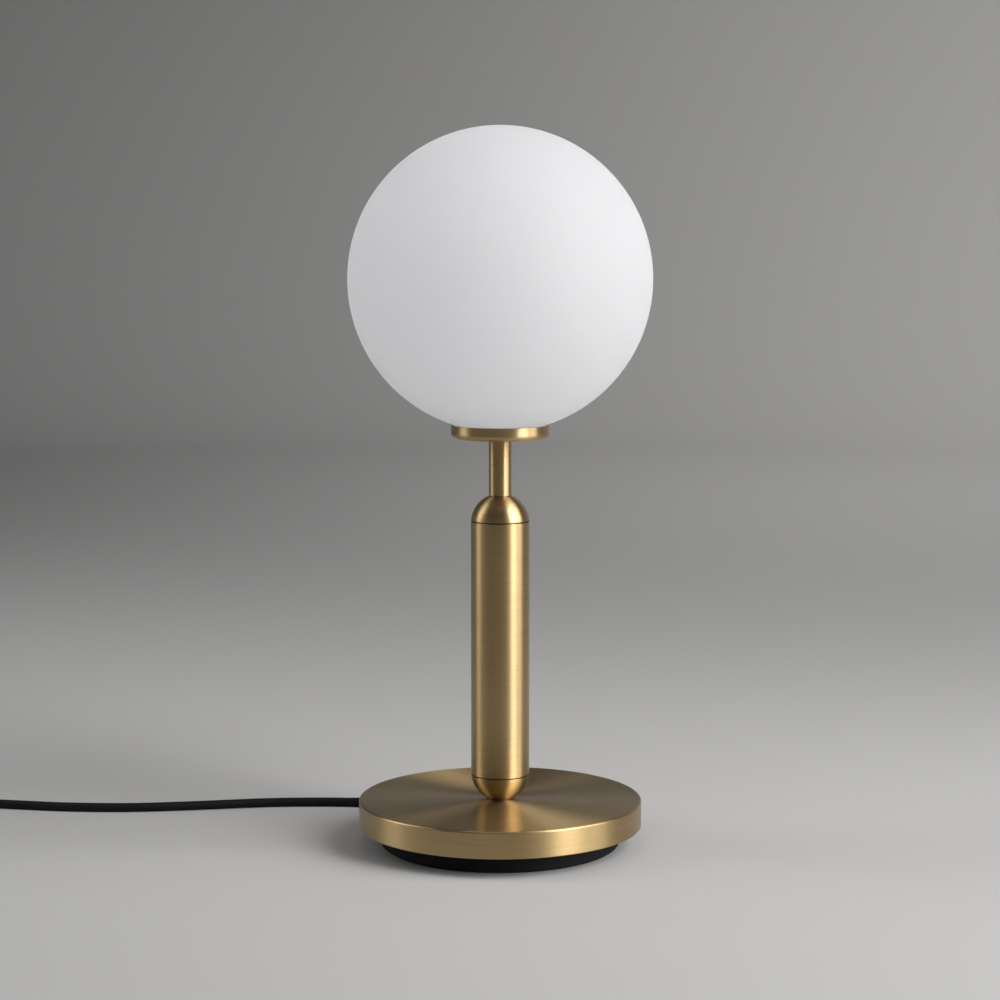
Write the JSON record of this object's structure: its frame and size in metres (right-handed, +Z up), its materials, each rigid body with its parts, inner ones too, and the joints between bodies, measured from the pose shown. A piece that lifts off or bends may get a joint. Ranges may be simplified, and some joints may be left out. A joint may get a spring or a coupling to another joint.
{
  "type": "glass globe table lamp",
  "caption": "Table lamp with an opal glass globe in a brass dish, on a stepped brass column and a round weighted base with a black plinth, mains lead and inline switch.",
  "frame": {"origin": "centre of the base's underside, on the table", "axes": "+Z up along the column, -X towards the lead's far end, -Y towards the viewer"},
  "size_m": [0.6076, 0.1979, 0.4295],
  "materials": {
    "brass": "satin brushed and lacquered",
    "iron": "rough cast, painted grey",
    "black_plastic": "fine moulded texture",
    "black_gloss": "smooth moulded",
    "cord": "matte round sheath",
    "foot_pad": "matte non-slip foam rubber",
    "steel": "zinc plated",
    "opal_glass": "satin etched opal",
    "silicone": "translucent white",
    "nylon": "natural",
    "phenolic": "moulded thermoset",
    "contact_brass": "bright",
    "bulb_glass": "frosted",
    "white_plastic": "moulded",
    "nickel": "bright nickel plated",
    "board": "white solder mask",
    "wire_brown": "PVC",
    "wire_blue": "PVC"
  },
  "bodies": {
    "lamp": {"base_cover": "brass", "base_weight": "iron", "plinth": "black_plastic", "base_pad": "foot_pad", "plinth_screws": "steel", "tie_rod": "steel", "rod_washer": "steel", "rod_nut": "steel", "lower_dome": "brass", "stem_tube": "brass", "centring_bush": "nylon", "upper_dome": "brass", "neck_tube": "brass", "globe_cup": "brass", "globe_gasket": "silicone", "cup_washer": "steel", "cup_nut": "steel", "holder_base": "phenolic", "holder_core": "phenolic", "holder_shell": "phenolic", "holder_socket": "contact_brass", "holder_contact": "contact_brass", "holder_terminals": "contact_brass", "terminal_screws": "steel", "cord_relief": "black_plastic", "cord_sheath": "cord", "cord_clamp": "nylon", "clamp_screws": "steel", "wire_line": "wire_brown", "wire_neutral": "wire_blue", "switch_base": "black_gloss", "switch_cover": "black_gloss", "switch_screws": "steel", "rocker_pin": "steel", "switch_terminals": "contact_brass", "contact_bridge": "contact_brass", "cord_lead": "cord", "cord_mid": "cord", "cord_coil": "cord", "cord_tail": "cord", "coil_tie": "black_plastic", "plug_relief": "black_plastic", "plug_body": "black_plastic", "plug_pins": "nickel", "pin_sleeves": "black_plastic"},
    "globe": {"globe": "opal_glass"},
    "bulb": {"bulb_contact": "contact_brass", "bulb_insulator": "phenolic", "bulb_cap": "nickel", "bulb_housing": "white_plastic", "bulb_envelope": "bulb_glass", "led_board": "board", "driver_board": "board"},
    "rocker": {"switch_rocker": "black_gloss"}
  },
  "joints": [
    {"name": "globe_lift", "type": "slide", "parent": "lamp", "child": "globe", "axis": [0, 0, 1], "range_m": [0, 0.12]},
    {"name": "bulb_lift", "type": "slide", "parent": "lamp", "child": "bulb", "axis": [0, 0, 1], "range_m": [0, 0.028]},
    {"name": "switch_rocker", "type": "hinge", "parent": "lamp", "child": "rocker", "pos_m": [-0.39093, 0.09509, 0.013], "axis": [-0.0698, -0.9976, 0], "range_deg": [0, 16]}
  ]
}
